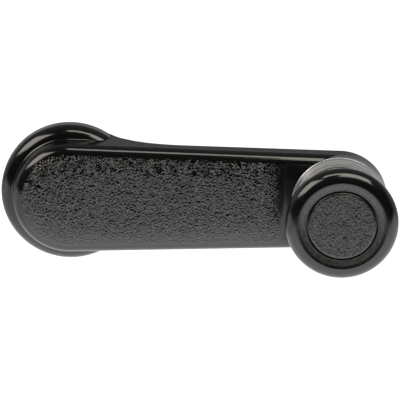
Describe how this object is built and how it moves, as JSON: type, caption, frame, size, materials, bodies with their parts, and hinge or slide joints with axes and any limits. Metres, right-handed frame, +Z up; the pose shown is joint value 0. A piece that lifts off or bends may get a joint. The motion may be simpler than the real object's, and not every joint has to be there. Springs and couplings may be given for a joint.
{
  "type": "car window winder handle",
  "caption": "Black moulded car window winder handle: grained arm on a round splined hub, held by a spring clip, with a flared spinning knob on a satin metal collar and a grained cap.",
  "frame": {"origin": "on the winding spindle's axis, in the plane where the hub rests against the door", "axes": "+Z up, +X from the hub to the knob, -Y out of the door towards the person who winds"},
  "size_m": [0.1409, 0.0462, 0.0494],
  "materials": {
    "moulded_black": "black moulded plastic, grained on the arm's face and smooth elsewhere",
    "cap_black": "fine grained black plastic",
    "collar_metal": "satin turned aluminium",
    "core_steel": "pressed sheet steel",
    "insert_zinc": "die-cast zinc alloy, as cast",
    "spring_steel": "blued spring steel",
    "screw_steel": "zinc-plated steel",
    "pin_steel": "bright turned steel",
    "nylon": "natural nylon"
  },
  "bodies": {
    "arm": {"arm_shell": "moulded_black", "arm_core": "core_steel", "hub_insert": "insert_zinc", "core_screw_inner": "screw_steel", "core_screw_outer": "screw_steel", "knob_pin": "pin_steel", "pin_washer": "screw_steel", "knob_collar": "collar_metal", "thrust_washer": "nylon", "wave_washer": "spring_steel", "push_nut": "spring_steel"},
    "knob": {"knob_body": "moulded_black", "knob_ferrule": "collar_metal", "knob_bush": "nylon", "knob_cap": "cap_black"},
    "clip": {"retaining_clip": "spring_steel"}
  },
  "joints": [
    {"name": "knob_spin", "type": "hinge", "parent": "arm", "child": "knob", "pos_m": [0.0965, -0.03, 0], "axis": [0, 1, 0], "continuous": true},
    {"name": "clip_slide", "type": "slide", "parent": "arm", "child": "clip", "axis": [1, 0, 0], "range_m": [0, 0.008]}
  ]
}
